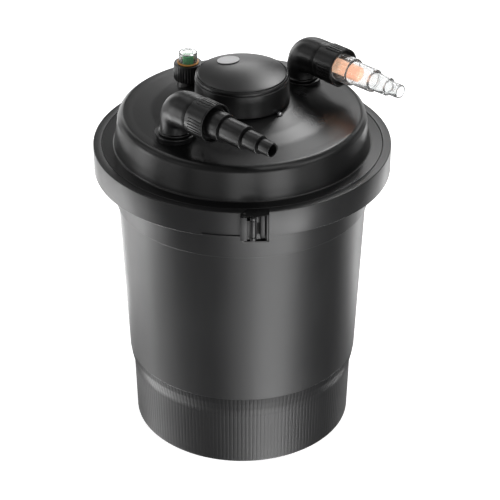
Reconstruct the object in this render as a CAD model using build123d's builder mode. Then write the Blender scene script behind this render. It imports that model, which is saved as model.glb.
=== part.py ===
from build123d import *
from math import cos, hypot, radians, sin, sqrt
import os

os.makedirs("parts", exist_ok=True)

# ---------------------------------------------------------------- driving dimensions (mm)
# canister
FOOT_R = 151.4
SKIRT_TOP_R = 153.8
SKIRT_TOP_Z = 84.0
SHOULDER_R = 158.6
SHOULDER_Z = 104.0
RIB_TOP_Z = 110.5
WALL_TOP_R = 168.6
COLLAR_R = 171.6
COLLAR_Z = 342.5
WALL = 4.0
FLOOR_T = 8.0
FLANGE_R = 196.4
RIM_Z = 394.0
RIM_TOP = 410.0
FLUTES = 180
FLUTE_DEPTH = 0.8

# clamp ring and latch
CLAMP_R = 200.0
CLAMP_LIP_R = 188.8
CLAMP_BOTTOM = 390.5
CLAMP_TOP = 427.0
CLAMP_T = 3.0
GAP_X = 20.6
GAP_W = 4.4
LUG_X = 25.9
LUG_Y = -200.4
EAR_T = 4.4
PIVOT_X = 13.7
PIVOT_Y = -206.2
TOGGLE_X = 2.8
HOOK_X = 31.6
HOOK_Y = -203.9
PIN_R = 2.2
LINK_PIN_R = 1.8
KNUCKLE_R = 4.4
LATCH_BOTTOM = 388.4
LATCH_TOP = 429.2
STRAP_T = 1.8
HANDLE_BOTTOM = 391.0
HANDLE_H = 3.0
HANDLE_R = 200.4
HANDLE_T = 1.2
LEVER_TOP = 425.2

# lid
LID_BASE_R = 172.0
LID_TOP_Z = 487.0
LID_T = 4.0
HEAD_OPENING_R = 27.0

# ports: name, upright axis of the elbow (x, y), and how far from that axis the union nut's face lies
PORTS = (("inlet", -86.0, -81.5, 74.5), ("outlet", 81.0, 81.5, 76.5))
TAIL_Z = 518.5
BOSS_R = 26.9
BOSS_TOP = 481.0
SPIGOT_R = 15.0
ELBOW_COLLAR_R = 22.6
ELBOW_R = 19.9
ARM_R = 24.0
BEND_R = 25.0
NUT_BACK = 43.0
NUT_R = 26.5
TAIL_RADII = (19.0, 16.0, 12.5, 9.5)
TAIL_ENDS = (18.5, 55.0, 80.2, 100.3)
TAIL_BORE_R = 7.5
STEP_CHAMFER = 0.8
SLEEVE_R = 14.4
SLEEVE_END = 26.0

# soiling indicator
IND_X = -73.0
IND_Y = 63.0
NECK_R = 14.7
NECK_BORE_R = 8.3
NECK_TOP = 504.0
IND_NUT_R = 19.0
IND_NUT_Z = 487.4
IND_NUT_TOP = 510.5
IND_NUT_LIP_Z = 508.9
IND_FLANGE_Z = 506.2
IND_FLANGE_R = 14.6
IND_CUP_BORE_R = 10.8
WIPER_R = 14.8
IND_CUP_R = 12.6
IND_CUP_TOP = 526.0
FLOAT_R = 7.6
FLOAT_Z = 500.0
FLOAT_TOP = 521.0
FLOAT_STEM_Z = 482.0

# lamp head
HEAD_R = 63.2
HEAD_Z = 487.6
SEAM_Z = 520.0
HEAD_TOP = 533.0
CROWN_R = 240.0
CROWN_EDGE = 58.9
BADGE_R = 14.8
BADGE_X = -18.4
BADGE_Y = 25.7
QUARTZ_R = 20.0
QUARTZ_T = 1.5
QUARTZ_TOP = 486.0
QUARTZ_END = 170.0
LAMP_R = 7.5
LAMP_PITCH = 17.2
GLAND_Z = 503.0
COVER_SCREW_CIRCLE = 55.4
LOCK_X = 48.7
LOCK_Y = -46.3

# media stack
TUBE_R = 33.0
TUBE_T = 3.0
FOAM_R = 143.0
FOAM_Z = 31.0
FOAM_H = 72.0
ROD_R = 4.0
ROD_CIRCLE = 112.0


def ring(inner, outer, bottom, top, centre=(0.0, 0.0)):
    """Plain ring or, with no inner radius, a disc, standing on a level."""
    with BuildPart() as body:
        with BuildSketch(Plane.XY.offset(bottom)):
            with Locations(centre):
                Circle(outer)
                if inner > 0:
                    Circle(inner, mode=Mode.SUBTRACT)
        extrude(amount=top - bottom)
    return body


def save(body, name):
    """Labels one piece and writes its STEP file."""
    body.part.label = name
    export_step(body.part, "parts/" + name + ".step")


# ---------------------------------------------------------------- canister
with BuildPart() as canister:
    with BuildSketch(Plane.XZ):
        with BuildLine():
            Polyline(
                (0, 0), (FOOT_R - 1.5, 0), (FOOT_R, 1.5),
                (SKIRT_TOP_R, SKIRT_TOP_Z), (SHOULDER_R, SHOULDER_Z), (SHOULDER_R + 0.4, RIB_TOP_Z),
                (WALL_TOP_R, COLLAR_Z), (COLLAR_R, COLLAR_Z), (COLLAR_R, RIM_Z),
                (FLANGE_R, RIM_Z), (FLANGE_R, RIM_TOP), (188.0, RIM_TOP), (188.0, 404.0),
                (180.0, 404.0), (180.0, RIM_TOP), (COLLAR_R - WALL, RIM_TOP),
                (COLLAR_R - WALL, COLLAR_Z + 3), (WALL_TOP_R - WALL, COLLAR_Z),
                (SHOULDER_R + 0.4 - WALL, RIB_TOP_Z), (SKIRT_TOP_R - WALL, SKIRT_TOP_Z),
                (FOOT_R - WALL, FLOOR_T), (0, FLOOR_T), close=True)
        make_face()
    revolve(axis=Axis.Z)

# fine upright flutes round the skirt, each one a thin wedge that follows the skirt's outline
with BuildPart() as flute:
    with BuildSketch(Plane.XZ):
        with BuildLine():
            Polyline(
                (FOOT_R - FLUTE_DEPTH + 0.2, 4.0), (SKIRT_TOP_R - FLUTE_DEPTH, SKIRT_TOP_Z),
                (SHOULDER_R - FLUTE_DEPTH, SHOULDER_Z), (SHOULDER_R - FLUTE_DEPTH + 0.3, RIB_TOP_Z - 1.0),
                (SHOULDER_R + 3, RIB_TOP_Z - 1.0), (SHOULDER_R + 3, 4.0), close=True)
        make_face()
    revolve(axis=Axis.Z, revolution_arc=180.0 / FLUTES)
with BuildPart() as flutes:
    with PolarLocations(0, FLUTES):
        add(flute.part)
with BuildPart() as fluted_canister:
    add(canister.part)
    add(flutes.part, mode=Mode.SUBTRACT)
save(fluted_canister, "canister")

lid_seal = ring(180.3, 187.7, 404.1, 410.3)
save(lid_seal, "lid_seal")

# ---------------------------------------------------------------- lid
SHELL = [(LID_BASE_R, 426.6), (167.2, 457.0), (165.0, 464.0), (161.0, 469.3), (155.5, 471.6),
         (148.0, 472.3), (118.0, 474.2), (95.0, 479.0), (70.0, LID_TOP_Z - 0.6), (64.0, LID_TOP_Z)]
inner_shell = [(r - 3.0 if r > 150 else r, z - LID_T) for r, z in SHELL]

with BuildPart() as lid:
    with BuildSketch(Plane.XZ):
        with BuildLine():
            Polyline(
                (HEAD_OPENING_R, LID_TOP_Z), (HEAD_OPENING_R, 470.0), (HEAD_OPENING_R + 4, 470.0),
                (HEAD_OPENING_R + 4, 477.6), (62.0, 477.6), *reversed(inner_shell[:-2]), (168.0, 410.4),
                (FLANGE_R, 410.4), (FLANGE_R, 423.6), (188.4, 423.6), (188.4, 426.6),
                *SHELL, close=True)
        make_face()
    revolve(axis=Axis.Z)
    # one boss and spigot bore for each hose port
    for name, x, y, face in PORTS:
        for bottom, top, radius, mode in (
                (446.0, 472.0, 21.0, Mode.ADD), (470.5, BOSS_TOP, BOSS_R, Mode.ADD),
                (440.0, 500.0, SPIGOT_R + 0.35, Mode.SUBTRACT), (476.0, 500.0, SPIGOT_R + 3.2, Mode.SUBTRACT)):
            with BuildSketch(Plane.XY.offset(bottom)):
                with Locations((x, y)):
                    Circle(radius)
            extrude(amount=top - bottom, mode=mode)
    # neck of the soiling indicator
    with BuildSketch(Plane.XY.offset(476.0)):
        with Locations((IND_X, IND_Y)):
            Circle(NECK_R)
    extrude(amount=NECK_TOP - 476.0)
    with BuildSketch(Plane.XY.offset(465.0)):
        with Locations((IND_X, IND_Y)):
            Circle(NECK_BORE_R)
    extrude(amount=50.0, mode=Mode.SUBTRACT)
    # seat of the lamp head's locking ring, and the hole of its lock screw
    with BuildSketch(Plane.XY.offset(482.2)):
        Circle(52.4)
        Circle(34.0, mode=Mode.SUBTRACT)
    extrude(amount=10.0, mode=Mode.SUBTRACT)
    with BuildSketch(Plane.XY.offset(480.0)):
        with Locations((LOCK_X, LOCK_Y)):
            Circle(4.2)
    extrude(amount=6.9)
    with BuildSketch(Plane.XY.offset(476.0)):
        with Locations((LOCK_X, LOCK_Y)):
            Circle(2.05)
    extrude(amount=14.0, mode=Mode.SUBTRACT)
save(lid, "lid")

# ---------------------------------------------------------------- clamp ring and latch
with BuildPart() as clamp_ring:
    with BuildSketch(Plane.XZ):
        with BuildLine():
            Polyline(
                (CLAMP_R, CLAMP_BOTTOM + 0.8), (CLAMP_R, CLAMP_TOP - 0.8), (CLAMP_R - 0.8, CLAMP_TOP),
                (CLAMP_LIP_R, CLAMP_TOP), (CLAMP_LIP_R, CLAMP_TOP - CLAMP_T),
                (CLAMP_R - CLAMP_T, CLAMP_TOP - CLAMP_T), (CLAMP_R - CLAMP_T, CLAMP_BOTTOM + CLAMP_T),
                (176.0, CLAMP_BOTTOM + CLAMP_T), (176.0, CLAMP_BOTTOM), (CLAMP_R - 0.8, CLAMP_BOTTOM),
                close=True)
        make_face()
    revolve(axis=Axis.Z)
    # upright lug at the hook end, and two ears for the lever's pivot at the other end
    with BuildSketch(Plane.XY.offset(391.2)):
        with Locations((LUG_X, LUG_Y)):
            Rectangle(6.0, 7.2)
    extrude(amount=35.6)
    for level in (391.4, 420.6):
        with BuildSketch(Plane.XY.offset(level)):
            with Locations((PIVOT_X - 0.6, -202.2)):
                Rectangle(8.0, 8.0)
            with Locations((PIVOT_X, PIVOT_Y)):
                Circle(KNUCKLE_R)
        extrude(amount=EAR_T)
    with BuildSketch(Plane.XY.offset(380.0)):
        with Locations((PIVOT_X, PIVOT_Y)):
            Circle(PIN_R + 0.02)
    extrude(amount=60.0, mode=Mode.SUBTRACT)
    with BuildSketch(Plane.XY.offset(380.0)):
        with Locations((GAP_X, -190.0)):
            Rectangle(GAP_W, 60.0)
    extrude(amount=60.0, mode=Mode.SUBTRACT)
save(clamp_ring, "clamp_ring")

latch_pivot_pin = ring(0, PIN_R, 390.8, 426.0, (PIVOT_X, PIVOT_Y))
save(latch_pivot_pin, "latch_pivot_pin")

with BuildPart() as latch_lever:
    # slim curved handle that lies along the ring's lower edge
    with BuildSketch(Plane.XY.offset(HANDLE_BOTTOM)):
        Circle(HANDLE_R + HANDLE_T)
        Circle(HANDLE_R, mode=Mode.SUBTRACT)
        with Locations((-23.5, -200.0)):
            Rectangle(57.0, 40.0, mode=Mode.INTERSECT)
    extrude(amount=HANDLE_H)
    # block of the link's pin, and the arm with the pivot's knuckle
    with BuildSketch(Plane.XY.offset(HANDLE_BOTTOM)):
        with Locations((TOGGLE_X - 1.1, -204.7)):
            Rectangle(8.6, 8.6)
    extrude(amount=LEVER_TOP - HANDLE_BOTTOM)
    with BuildSketch(Plane.XY.offset(396.4)):
        with Locations((PIVOT_X, PIVOT_Y)):
            Circle(KNUCKLE_R)
        with Locations((0.5 * (PIVOT_X + TOGGLE_X), PIVOT_Y + 1.0)):
            Rectangle(PIVOT_X - TOGGLE_X, KNUCKLE_R)
    extrude(amount=23.6)
    for x, radius in ((PIVOT_X, PIN_R + 0.06), (TOGGLE_X, LINK_PIN_R + 0.06)):
        with BuildSketch(Plane.XY.offset(380.0)):
            with Locations((x, PIVOT_Y)):
                Circle(radius)
        extrude(amount=60.0, mode=Mode.SUBTRACT)
save(latch_lever, "latch_lever")

# the link: a cover plate above, a slim strap below, and the bar that hooks behind the lug
LINK_PLATES = (
    ("latch_link", LATCH_TOP - STRAP_T, [
        (-2.4, -206.5), (-2.0, -210.2), (6.0, -210.6), (16.5, -212.6), (34.2, -206.8), (34.2, -193.4),
        (6.4, -193.4)]),
    ("latch_link_strap", LATCH_BOTTOM, [
        (0.0, -206.2), (2.8, -209.0), (31.6, -207.4), (34.2, -205.6), (34.2, -201.2), (31.6, -200.6),
        (2.8, -203.4)]))
for name, level, outline in LINK_PLATES:
    with BuildPart() as plate:
        with BuildSketch(Plane.XY.offset(level)):
            with BuildLine():
                Polyline(*outline, close=True)
            make_face()
            with Locations((TOGGLE_X, PIVOT_Y)):
                Circle(LINK_PIN_R + 0.02, mode=Mode.SUBTRACT)
        extrude(amount=STRAP_T)
    save(plate, name)

with BuildPart() as latch_hook_bar:
    with BuildSketch(Plane.XY.offset(LATCH_BOTTOM + STRAP_T)):
        with Locations((HOOK_X, HOOK_Y)):
            RectangleRounded(4.6, 6.4, 2.0)
    extrude(amount=LATCH_TOP - LATCH_BOTTOM - 2 * STRAP_T)
save(latch_hook_bar, "latch_hook_bar")

latch_link_pin = ring(0, LINK_PIN_R, LATCH_BOTTOM, LATCH_TOP + 0.6, (TOGGLE_X, PIVOT_Y))
save(latch_link_pin, "latch_link_pin")


# ---------------------------------------------------------------- the two hose ports
def port_pieces(prefix, x, y, face):
    """Swivelling elbow, union nut and stepped hose tail over one boss of the lid."""
    up = Vector(0, 0, 1)
    along = Vector(cos(radians(-45)), sin(radians(-45)), 0)
    across = along.cross(up)
    side = Plane(origin=(x, y, 0), x_dir=along, z_dir=across)
    upright = Axis((x, y, 0), (0, 0, 1))
    level = Axis((x, y, TAIL_Z), along)

    def at(distance, height):
        return Vector(x, y, 0) + along * distance + up * height

    # elbow: upright spigot and pipe, a bend that widens, and the threaded arm
    with BuildPart() as elbow:
        with BuildSketch(side):
            with BuildLine():
                Polyline(
                    (0, 440.0), (14.2, 440.0), (SPIGOT_R, 440.8), (SPIGOT_R, 442.0), (13.4, 442.0),
                    (13.4, 445.0), (SPIGOT_R, 445.0), (SPIGOT_R, 464.0), (13.2, 464.0), (13.2, 467.0),
                    (SPIGOT_R, 467.0), (SPIGOT_R, 476.4), (17.6, 476.4), (17.6, 481.4), (ELBOW_COLLAR_R, 481.4),
                    (ELBOW_COLLAR_R, 484.0), (ELBOW_R, 484.8), (ELBOW_R, TAIL_Z - BEND_R), (0, TAIL_Z - BEND_R),
                    close=True)
            make_face()
        revolve(axis=upright)
        for k in range(6):
            angle = radians(18.0 * k)
            with BuildSketch(Plane(
                    origin=at(BEND_R * (1 - cos(angle)), TAIL_Z - BEND_R * (1 - sin(angle))),
                    x_dir=across, z_dir=along * sin(angle) + up * cos(angle))):
                Circle(ELBOW_R + (ARM_R - ELBOW_R) * k / 5.0)
        loft()
        with BuildSketch(side):
            with BuildLine():
                Polyline(
                    (BEND_R, TAIL_Z), (BEND_R, TAIL_Z + ARM_R), (NUT_BACK - 1.0, TAIL_Z + ARM_R),
                    (NUT_BACK - 1.0, TAIL_Z + 22.0), (face - 13.0, TAIL_Z + 22.0),
                    (face - 13.0, TAIL_Z), close=True)
            make_face()
        revolve(axis=level)
        # water way through the elbow
        with BuildLine():
            Line(at(0, 439.0), at(0, TAIL_Z - BEND_R))
            ThreePointArc(
                at(0, TAIL_Z - BEND_R),
                at(BEND_R * (1 - cos(radians(45))), TAIL_Z - BEND_R * (1 - sin(radians(45)))),
                at(BEND_R, TAIL_Z))
            Line(at(BEND_R, TAIL_Z), at(face, TAIL_Z))
        with BuildSketch(Plane(origin=at(0, 439.0), z_dir=up)):
            Circle(11.0)
        sweep(mode=Mode.SUBTRACT)
        with BuildSketch(Plane(origin=at(BEND_R + 14.0, TAIL_Z), z_dir=along)):
            Circle(16.5)
        extrude(amount=40.0, mode=Mode.SUBTRACT)
    save(elbow, prefix + "_elbow")

    # seal in the spigot's groove, and the split ring under the lid that keeps the elbow in
    save(ring(13.25, SPIGOT_R + 0.28, 464.1, 466.9, (x, y)), prefix + "_swivel_seal")
    with BuildPart() as clip:
        with BuildSketch(Plane.XY.offset(442.3)):
            with Locations((x, y)):
                Circle(19.0)
                Circle(13.5, mode=Mode.SUBTRACT)
            with Locations((x, y + 16.0)):
                Rectangle(6.0, 10.0, mode=Mode.SUBTRACT)
        extrude(amount=2.4)
    save(clip, prefix + "_retaining_clip")

    # union nut with a deep mouth and grip lugs in four groups
    with BuildPart() as nut:
        with BuildSketch(side):
            with BuildLine():
                Polyline(
                    (NUT_BACK, TAIL_Z + 22.4), (NUT_BACK, TAIL_Z + 25.4), (NUT_BACK + 1, TAIL_Z + NUT_R),
                    (face - 1, TAIL_Z + NUT_R), (face, TAIL_Z + 25.6), (face, TAIL_Z + 23.4),
                    (face - 6, TAIL_Z + 22.6), (face - 6, TAIL_Z + 17.4),
                    (face - 9, TAIL_Z + 17.4), (face - 9, TAIL_Z + 22.4), close=True)
            make_face()
        revolve(axis=level)
        for quarter in range(4):
            for step in range(-2, 3):
                turn = radians(90.0 * quarter + 9.0 * step)
                radial = up * cos(turn) + across * sin(turn)
                foot = at(NUT_BACK + 2.0, TAIL_Z) + radial * (NUT_R - 0.2)
                with BuildSketch(Plane(origin=foot, x_dir=radial.cross(along), z_dir=along)):
                    Rectangle(2.2, 2.0)
                extrude(amount=face - NUT_BACK - 4.0)
    save(nut, prefix + "_union_nut")

    # seal between the elbow's end and the tail's collar, with a sleeve that lines the tail's mouth
    with BuildPart() as tail_seal:
        with BuildSketch(side):
            with BuildLine():
                Polyline(
                    (face - 12.9, TAIL_Z + 12.8), (face - 12.9, TAIL_Z + 21.4), (face - 11.0, TAIL_Z + 21.4),
                    (face - 11.0, TAIL_Z + SLEEVE_R), (face + SLEEVE_END, TAIL_Z + SLEEVE_R),
                    (face + SLEEVE_END, TAIL_Z + 12.8), close=True)
            make_face()
        revolve(axis=level)
    save(tail_seal, prefix + "_tail_seal")

    # hose tail: collar behind the nut's lip, then four steps for four hose sizes
    outline = [
        (face - 10.9, 0), (face - 10.9, 21.6), (face - 9.4, 21.6), (face - 9.4, 17.0),
        (face - 4.0, 17.0), (face - 4.0, TAIL_RADII[0])]
    for index, (radius, far) in enumerate(zip(TAIL_RADII, TAIL_ENDS)):
        if index:
            outline.append((face + TAIL_ENDS[index - 1], radius))
        outline += [(face + far - STEP_CHAMFER, radius), (face + far, radius - STEP_CHAMFER)]
    outline.append((face + TAIL_ENDS[-1], 0))
    bore_end = face + TAIL_ENDS[-1] + 1.0
    bore = [
        (face - 11.5, 0), (face - 11.5, SLEEVE_R + 0.2), (face + 27.0, SLEEVE_R + 0.2), (face + 33.0, 13.0),
        (face + 48.0, 13.0), (face + 58.0, 9.8), (face + 72.0, 9.8),
        (face + 79.0, TAIL_BORE_R), (bore_end, TAIL_BORE_R), (bore_end, 0)]
    with BuildPart() as tail:
        with BuildSketch(side):
            with BuildLine():
                Polyline(*[(s, TAIL_Z + r) for s, r in outline], close=True)
            make_face()
        revolve(axis=level)
        with BuildSketch(side):
            with BuildLine():
                Polyline(*[(s, TAIL_Z + r) for s, r in bore], close=True)
            make_face()
        revolve(axis=level, mode=Mode.SUBTRACT)
    save(tail, prefix + "_hose_tail")


for port in PORTS:
    port_pieces(*port)

# ---------------------------------------------------------------- soiling indicator
with BuildPart() as indicator_nut:
    with BuildSketch(Plane.XY.offset(IND_NUT_Z)):
        with Locations((IND_X, IND_Y)):
            Circle(IND_NUT_R)
            Circle(NECK_R + 0.4, mode=Mode.SUBTRACT)
            with PolarLocations(IND_NUT_R, 30):
                Circle(0.7)
    extrude(amount=IND_NUT_TOP - 1.0 - IND_NUT_Z)
    with BuildSketch(Plane.XY.offset(IND_NUT_LIP_Z)):
        with Locations((IND_X, IND_Y)):
            Circle(IND_NUT_R - 0.3)
            Circle(IND_CUP_R + 0.4, mode=Mode.SUBTRACT)
    extrude(amount=IND_NUT_TOP - IND_NUT_LIP_Z)
save(indicator_nut, "indicator_nut")

# clear cup, open below, with a round recess in its top
with BuildPart() as indicator_cup:
    with BuildSketch(Plane.XY.offset(IND_FLANGE_Z)):
        with Locations((IND_X, IND_Y)):
            Circle(IND_FLANGE_R)
    extrude(amount=2.4)
    with BuildSketch(Plane.XY.offset(IND_FLANGE_Z + 2.0)):
        with Locations((IND_X, IND_Y)):
            Circle(IND_CUP_R)
    extrude(amount=IND_CUP_TOP - IND_FLANGE_Z - 2.0)
    chamfer(indicator_cup.faces().sort_by(Axis.Z)[-1].edges(), 0.7)
    with BuildSketch(Plane.XY.offset(IND_FLANGE_Z)):
        with Locations((IND_X, IND_Y)):
            Circle(IND_CUP_BORE_R)
    extrude(amount=IND_CUP_TOP - 2.4 - IND_FLANGE_Z, mode=Mode.SUBTRACT)
    with BuildSketch(Plane.XY.offset(IND_CUP_TOP - 0.9)):
        with Locations((IND_X, IND_Y)):
            Circle(7.1)
    extrude(amount=3.0, mode=Mode.SUBTRACT)
save(indicator_cup, "indicator_cup")

# seal below the cup's flange, and an amber wiper ring round the cup's foot above the nut
save(ring(NECK_BORE_R + 0.3, 14.4, NECK_TOP + 0.1, IND_FLANGE_Z, (IND_X, IND_Y)), "indicator_seal")
wiper_ring = ring(IND_CUP_R + 0.05, WIPER_R, IND_NUT_TOP + 0.1, IND_NUT_TOP + 1.7, (IND_X, IND_Y))
save(wiper_ring, "indicator_wiper_ring")
with BuildPart() as indicator_float:
    with BuildSketch(Plane.XY.offset(FLOAT_Z)):
        with Locations((IND_X, IND_Y)):
            Circle(FLOAT_R)
    extrude(amount=FLOAT_TOP - FLOAT_Z)
    with BuildSketch(Plane.XY.offset(FLOAT_STEM_Z)):
        with Locations((IND_X, IND_Y)):
            Circle(2.0)
    extrude(amount=FLOAT_Z - FLOAT_STEM_Z)
save(indicator_float, "indicator_float")

# ---------------------------------------------------------------- lamp head
with BuildPart() as uv_head_housing:
    with BuildSketch(Plane.XZ):
        with BuildLine():
            Polyline(
                (22.6, 472.0), (26.5, 472.0), (26.5, HEAD_Z), (54.0, HEAD_Z), (54.0, HEAD_Z + 2.2),
                (58.0, HEAD_Z + 2.2), (58.0, HEAD_Z), (HEAD_R - 0.8, HEAD_Z), (HEAD_R, HEAD_Z + 0.8),
                (HEAD_R - 0.6, SEAM_Z - 0.8), (HEAD_R - 1.4, SEAM_Z), (52.0, SEAM_Z),
                (52.0, SEAM_Z - 3.0), (HEAD_R - 3.6, SEAM_Z - 3.0), (HEAD_R - 3.0, HEAD_Z + 3.6),
                (22.6, HEAD_Z + 3.6), close=True)
        make_face()
    revolve(axis=Axis.Z)
    with BuildSketch(Plane(origin=(0, 50.0, GLAND_Z), z_dir=(0, 1, 0))):
        Circle(5.1)
    extrude(amount=20.0, mode=Mode.SUBTRACT)
    with BuildSketch(Plane.XY.offset(SEAM_Z - 5.0)):
        with PolarLocations(COVER_SCREW_CIRCLE, 3, start_angle=30.0):
            Circle(1.75)
    extrude(amount=10.0, mode=Mode.SUBTRACT)
save(uv_head_housing, "uv_head_housing")


def crown(distance):
    """Height of the cover's shallow round crown at a distance from the axis."""
    return HEAD_TOP - CROWN_R + sqrt(CROWN_R ** 2 - distance ** 2)


# cover: a crown inside a narrow groove, and a rounded shoulder outside it
with BuildPart() as uv_head_cover:
    with BuildSketch(Plane.XZ):
        with BuildLine():
            Polyline(
                (0, HEAD_TOP), (0, HEAD_TOP - 3), (48.0, crown(48.0) - 3.0), (48.0, SEAM_Z - 6.0),
                (51.6, SEAM_Z - 6.0), (51.6, SEAM_Z + 0.3), (HEAD_R - 1.6, SEAM_Z + 0.3),
                (HEAD_R - 1.0, SEAM_Z + 0.9), (HEAD_R - 1.2, SEAM_Z + 2.6), (HEAD_R - 2.4, SEAM_Z + 4.6),
                (CROWN_EDGE + 0.9, SEAM_Z + 5.2), (CROWN_EDGE + 0.9, SEAM_Z + 3.4),
                (CROWN_EDGE, SEAM_Z + 3.4), (CROWN_EDGE, crown(CROWN_EDGE)))
            ThreePointArc((CROWN_EDGE, crown(CROWN_EDGE)), (30.0, crown(30.0)), (0, HEAD_TOP))
        make_face()
    revolve(axis=Axis.Z)
    with BuildSketch(Plane.XY.offset(SEAM_Z - 1.0)):
        with PolarLocations(COVER_SCREW_CIRCLE, 3, start_angle=30.0):
            Circle(1.65)
    extrude(amount=3.9, mode=Mode.SUBTRACT)
save(uv_head_cover, "uv_head_cover")

# plain round badge, lying on the crown of the cover
badge_distance = hypot(BADGE_X, BADGE_Y)
badge_normal = Vector(BADGE_X, BADGE_Y, sqrt(CROWN_R ** 2 - badge_distance ** 2))
with BuildPart() as uv_head_badge:
    with BuildSketch(Plane(origin=(BADGE_X, BADGE_Y, crown(badge_distance) + 0.12), z_dir=badge_normal)):
        Circle(BADGE_R)
    extrude(amount=0.9)
save(uv_head_badge, "uv_head_badge")

with BuildPart() as uv_bayonet_ring:
    with BuildSketch(Plane.XY.offset(482.6)):
        Circle(52.0)
        Circle(34.4, mode=Mode.SUBTRACT)
        with PolarLocations(43.2, 3):
            Rectangle(8.0, 14.0, mode=Mode.SUBTRACT)
    extrude(amount=4.4)
save(uv_bayonet_ring, "uv_bayonet_ring")

save(ring(54.1, 57.9, 487.3, 489.6), "uv_head_seal")

with BuildPart() as uv_lock_screw:
    with BuildSketch(Plane.XY.offset(487.9)):
        with Locations((LOCK_X, LOCK_Y)):
            Circle(3.1)
    extrude(amount=2.3)
    chamfer(uv_lock_screw.faces().sort_by(Axis.Z)[-1].edges(), 0.6)
    with BuildSketch(Plane.XY.offset(478.0)):
        with Locations((LOCK_X, LOCK_Y)):
            Circle(2.0)
    extrude(amount=10.0)
    with BuildSketch(Plane.XY.offset(489.3)):
        with Locations((LOCK_X, LOCK_Y)):
            Rectangle(3.4, 0.8)
            Rectangle(0.8, 3.4)
    extrude(amount=3.0, mode=Mode.SUBTRACT)
save(uv_lock_screw, "uv_lock_screw")
save(ring(2.1, 3.6, 487.1, 487.7, (LOCK_X, LOCK_Y)), "uv_lock_washer")

# quartz sleeve with its seal and nut, hanging from the head's hub
with BuildPart() as quartz_sleeve:
    with BuildSketch(Plane.XZ):
        with BuildLine():
            Line((QUARTZ_R, QUARTZ_TOP), (QUARTZ_R, QUARTZ_END))
            RadiusArc((QUARTZ_R, QUARTZ_END), (0, QUARTZ_END - QUARTZ_R), QUARTZ_R)
            Line((0, QUARTZ_END - QUARTZ_R), (0, QUARTZ_END - QUARTZ_R + QUARTZ_T))
            RadiusArc(
                (0, QUARTZ_END - QUARTZ_R + QUARTZ_T), (QUARTZ_R - QUARTZ_T, QUARTZ_END),
                -(QUARTZ_R - QUARTZ_T))
            Line((QUARTZ_R - QUARTZ_T, QUARTZ_END), (QUARTZ_R - QUARTZ_T, QUARTZ_TOP))
            Line((QUARTZ_R - QUARTZ_T, QUARTZ_TOP), (QUARTZ_R, QUARTZ_TOP))
        make_face()
    revolve(axis=Axis.Z)
save(quartz_sleeve, "quartz_sleeve")
save(ring(20.05, 22.5, 472.2, 476.0), "quartz_seal")

with BuildPart() as quartz_clamp_nut:
    with BuildSketch(Plane.XY.offset(461.0)):
        Circle(26.4)
        Circle(20.4, mode=Mode.SUBTRACT)
        with PolarLocations(26.4, 8):
            Circle(2.0, mode=Mode.SUBTRACT)
    extrude(amount=10.7)
save(quartz_clamp_nut, "quartz_clamp_nut")

# twin-tube lamp in its socket
with BuildPart() as uv_lamp:
    with BuildSketch(Plane.XY.offset(172.0)):
        with Locations((-LAMP_PITCH / 2, 0), (LAMP_PITCH / 2, 0)):
            Circle(LAMP_R)
    extrude(amount=292.0)
    with BuildSketch(Plane.XY.offset(178.0)):
        Rectangle(6.0, 6.0)
    extrude(amount=6.0)
    with BuildSketch(Plane.XY.offset(462.0)):
        SlotCenterToCenter(LAMP_PITCH, 15.6)
    extrude(amount=22.0)
save(uv_lamp, "uv_lamp")

with BuildPart() as uv_lamp_socket:
    with BuildSketch(Plane.XY.offset(484.3)):
        SlotCenterToCenter(LAMP_PITCH, 17.0)
    extrude(amount=6.0)
    with BuildSketch(Plane.XY.offset(490.3)):
        Circle(19.5)
    extrude(amount=14.0)
save(uv_lamp_socket, "uv_lamp_socket")

with BuildPart() as uv_ballast:
    with BuildSketch(Plane.XY.offset(493.0)):
        with Locations((0, -34.5)):
            RectangleRounded(58.0, 26.0, 2.0)
    extrude(amount=19.0)
save(uv_ballast, "uv_ballast")

with BuildPart() as cover_screws:
    for bottom, radius, height in ((SEAM_Z - 6.2, 2.9, 3.1), (SEAM_Z - 3.1, 1.6, 5.4)):
        with BuildSketch(Plane.XY.offset(bottom)):
            with PolarLocations(COVER_SCREW_CIRCLE, 3, start_angle=30.0):
                Circle(radius)
        extrude(amount=height)
save(cover_screws, "cover_screws")

# cable gland at the back of the head
with BuildPart() as cable_gland:
    for start, length, radius in ((56.5, 8.0, 5.0), (64.0, 4.0, 8.0), (68.0, 9.0, 7.2)):
        with BuildSketch(Plane(origin=(0, start, GLAND_Z), z_dir=(0, 1, 0))):
            Circle(radius)
        extrude(amount=length)
    chamfer(cable_gland.faces().sort_by(Axis.Y)[-1].edges(), 2.2)
    with BuildSketch(Plane(origin=(0, 50.0, GLAND_Z), z_dir=(0, 1, 0))):
        Circle(3.4)
    extrude(amount=40.0, mode=Mode.SUBTRACT)
save(cable_gland, "cable_gland")

# ---------------------------------------------------------------- water ways inside
INLET_X, INLET_Y = PORTS[0][1:3]
with BuildPart() as inlet_downpipe:
    with BuildSketch(Plane(origin=(INLET_X, INLET_Y, 0), x_dir=(1, 0, 0), z_dir=(0, -1, 0))):
        with BuildLine():
            Polyline(
                (15.0, 44.0), (17.0, 44.0), (17.0, 432.0), (23.6, 437.0), (23.6, 452.0),
                (21.4, 452.0), (21.4, 438.0), (15.0, 433.0), close=True)
        make_face()
    revolve(axis=Axis((INLET_X, INLET_Y, 0), (0, 0, 1)))
save(inlet_downpipe, "inlet_downpipe")

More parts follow.
